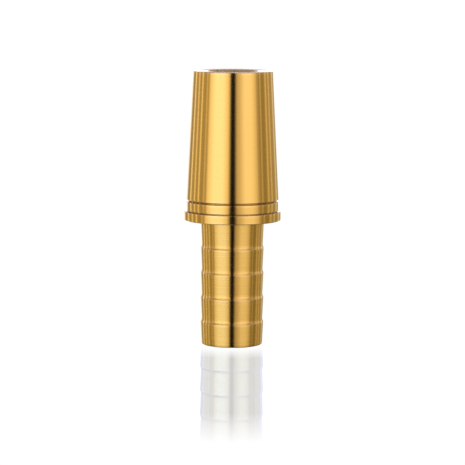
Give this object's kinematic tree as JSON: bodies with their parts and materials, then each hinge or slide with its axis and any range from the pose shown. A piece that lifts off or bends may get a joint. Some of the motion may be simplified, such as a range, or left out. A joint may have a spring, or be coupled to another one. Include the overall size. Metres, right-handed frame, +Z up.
{
  "type": "ground joint hose adapter",
  "caption": "Gold anodised aluminium adapter with a tapered ground joint spigot, a collar with a stop flange, and a barbed hose tail that swivels about the long axis.",
  "frame": {"origin": "centre of the hose tail's lower end face, which the part stands on", "axes": "+Z up along the common axis, from the hose tail to the narrow end of the tapered spigot"},
  "size_m": [0.0198, 0.0198, 0.0557],
  "materials": {
    "gold_aluminium_fine": "finely turned and bright anodised in gold, for the ground joint cone",
    "gold_aluminium_turned": "turned and bright anodised in gold, with visible turning marks",
    "gold_aluminium_barbs": "turned and bright anodised in gold, with visible turning marks, for the hose barbs",
    "white_plastic": "matt, slightly waxy fluoropolymer",
    "black_rubber": "smooth moulded nitrile, lightly greased"
  },
  "bodies": {
    "spigot_body": {"taper_spigot": "gold_aluminium_fine", "gland_collar": "gold_aluminium_turned", "gland_oring": "black_rubber", "thrust_washer_lower": "white_plastic", "thrust_washer_upper": "white_plastic"},
    "hose_tail_body": {"hose_tail": "gold_aluminium_barbs", "shank_oring_lower": "black_rubber", "shank_oring_upper": "black_rubber"}
  },
  "joints": [
    {"name": "tail_swivel", "type": "hinge", "parent": "spigot_body", "child": "hose_tail_body", "pos_m": [0, 0, 0], "axis": [0, 0, 1], "continuous": true}
  ]
}
